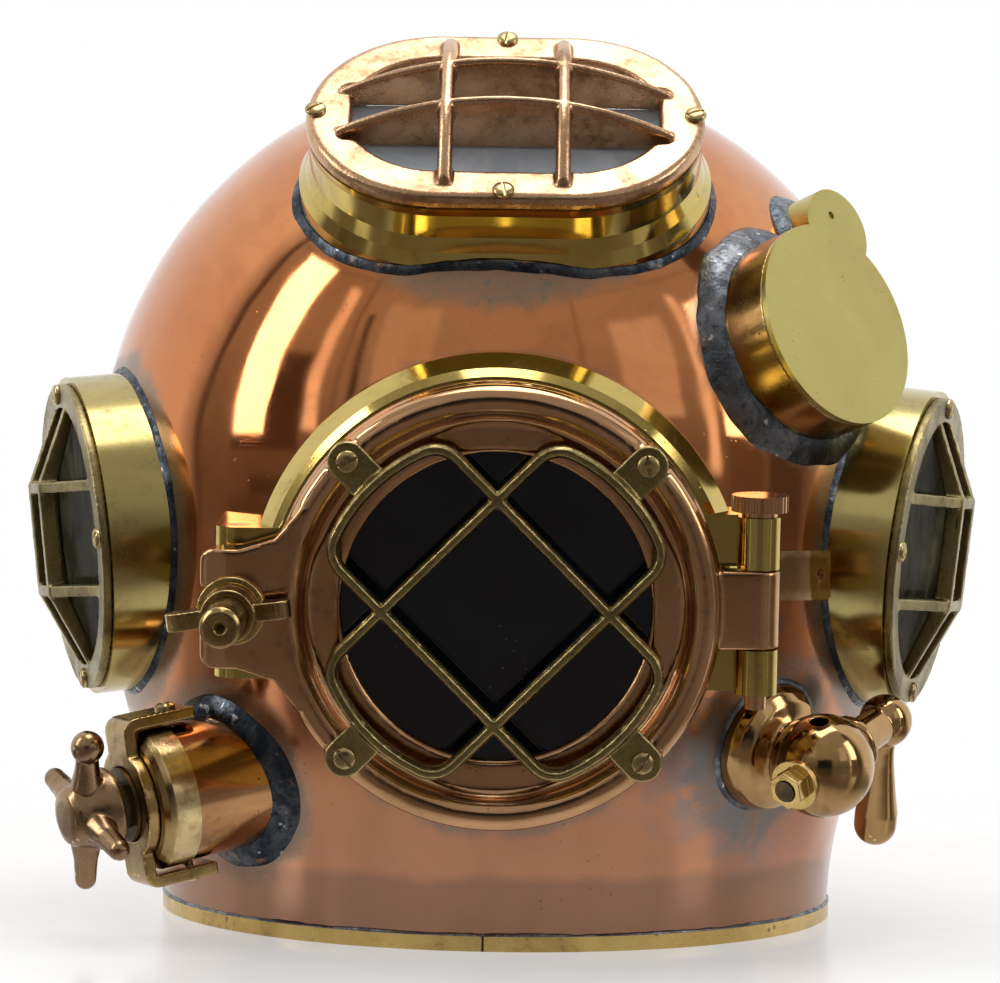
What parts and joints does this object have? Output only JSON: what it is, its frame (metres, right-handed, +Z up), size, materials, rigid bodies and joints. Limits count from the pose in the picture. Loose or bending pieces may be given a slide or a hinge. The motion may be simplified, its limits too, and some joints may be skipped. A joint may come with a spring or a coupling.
{
  "type": "diving helmet",
  "caption": "Copper diving helmet without breastplate: hinged barred front door, barred crown and side windows, telephone cups, exhaust valve, spitcock and bayonet neck ring.",
  "frame": {"origin": "centre of the neck ring's lower face, at the mouth of its bore", "axes": "+Z up along the neck ring's axis; -Y is the front, out of the door; +X is the wearer's left"},
  "size_m": [0.3904, 0.4369, 0.3546],
  "materials": {
    "copper": "polished copper with age marks",
    "brass": "polished yellow brass",
    "bronze": "dark polished bronze",
    "old_brass": "aged cast brass",
    "solder": "wiped soft solder",
    "spring_steel": "spring wire",
    "glass": "plate glass",
    "rubber": "matt rubber"
  },
  "bodies": {
    "helmet": {"bonnet": "copper", "neck_ring": "brass", "front_seat": "brass", "seat_gasket": "rubber", "hinge_pin": "bronze", "hinge_strap": "brass", "bolt_pin": "bronze", "crown_frame": "brass", "crown_glass": "glass", "crown_gasket": "rubber", "crown_guard": "bronze", "crown_screws": "old_brass", "left_frame": "brass", "left_glass": "glass", "left_gasket": "rubber", "left_guard": "old_brass", "left_screws": "old_brass", "right_frame": "brass", "right_glass": "glass", "right_gasket": "rubber", "right_guard": "old_brass", "right_screws": "old_brass", "exhaust_body": "copper", "exhaust_band": "brass", "exhaust_yoke": "brass", "yoke_screws": "brass", "spitcock_body": "bronze", "phone_cup": "brass", "phone_lid": "brass", "phone_unit": "rubber", "small_cup": "brass", "solder_fillets": "solder", "air_gooseneck": "bronze", "phone_gooseneck": "bronze", "air_duct": "copper", "lock_bracket": "brass", "lock_pin": "bronze"},
    "door": {"door": "bronze", "door_glass": "glass", "door_gasket": "rubber", "door_retainer": "bronze", "door_guard": "old_brass", "door_screws": "old_brass"},
    "clamp_bolt": {"swing_bolt": "bronze"},
    "clamp_collar": {"clamp_collar": "bronze"},
    "wing_nut": {"wing_nut": "brass"},
    "exhaust_screw": {"exhaust_sleeve": "rubber"},
    "handwheel": {"exhaust_wheel": "bronze"},
    "chin_valve": {"exhaust_stem": "bronze", "exhaust_spring": "spring_steel"},
    "spitcock": {"spitcock_plug": "brass", "spitcock_lever": "bronze", "spitcock_nut": "brass"},
    "lock_lever": {"lock_lever": "brass"}
  },
  "joints": [
    {"name": "door_hinge", "type": "hinge", "parent": "helmet", "child": "door", "pos_m": [0.095, -0.18103, 0.13149], "axis": [0, -0.1219, 0.9925], "range_deg": [0, 120]},
    {"name": "clamp_swing", "type": "hinge", "parent": "door", "child": "clamp_bolt", "pos_m": [-0.095, -0.168, 0.13208], "axis": [0, -0.1219, 0.9925], "range_deg": [-100, 0]},
    {"name": "clamp_travel", "type": "slide", "parent": "clamp_bolt", "child": "clamp_collar", "axis": [0, -0.9925, -0.1219], "range_m": [0, 0.012]},
    {"name": "wing_nut_turn", "type": "hinge", "parent": "clamp_collar", "child": "wing_nut", "pos_m": [-0.095, -0.1958, 0.12867], "axis": [0, -0.9925, -0.1219], "range_deg": [0, 2160]},
    {"name": "exhaust_travel", "type": "slide", "parent": "helmet", "child": "exhaust_screw", "axis": [-0.8419, -0.5079, -0.1822], "range_m": [-0.003, 0]},
    {"name": "handwheel_turn", "type": "hinge", "parent": "exhaust_screw", "child": "handwheel", "pos_m": [-0.1043, -0.10726, 0.06], "axis": [-0.8419, -0.5079, -0.1822], "range_deg": [-1080, 0]},
    {"name": "chin_push", "type": "slide", "parent": "helmet", "child": "chin_valve", "axis": [-0.8419, -0.5079, -0.1822], "range_m": [0, 0.005], "stiffness_N_per_m": 300, "springref_m": -0.01},
    {"name": "spitcock_turn", "type": "hinge", "parent": "helmet", "child": "spitcock", "pos_m": [0.12407, -0.13352, 0.07192], "axis": [-0.5749, -0.7602, -0.3027], "range_deg": [0, 90]},
    {"name": "lock_swing", "type": "hinge", "parent": "helmet", "child": "lock_lever", "pos_m": [0, 0.1575, 0.034], "axis": [1, 0, 0], "range_deg": [0, 110]}
  ],
  "couplings": [
    {"joint": "wing_nut_turn", "follows": "clamp_travel", "rad_per_m": 3141.6},
    {"joint": "handwheel_turn", "follows": "exhaust_travel", "rad_per_m": 6283.2}
  ]
}
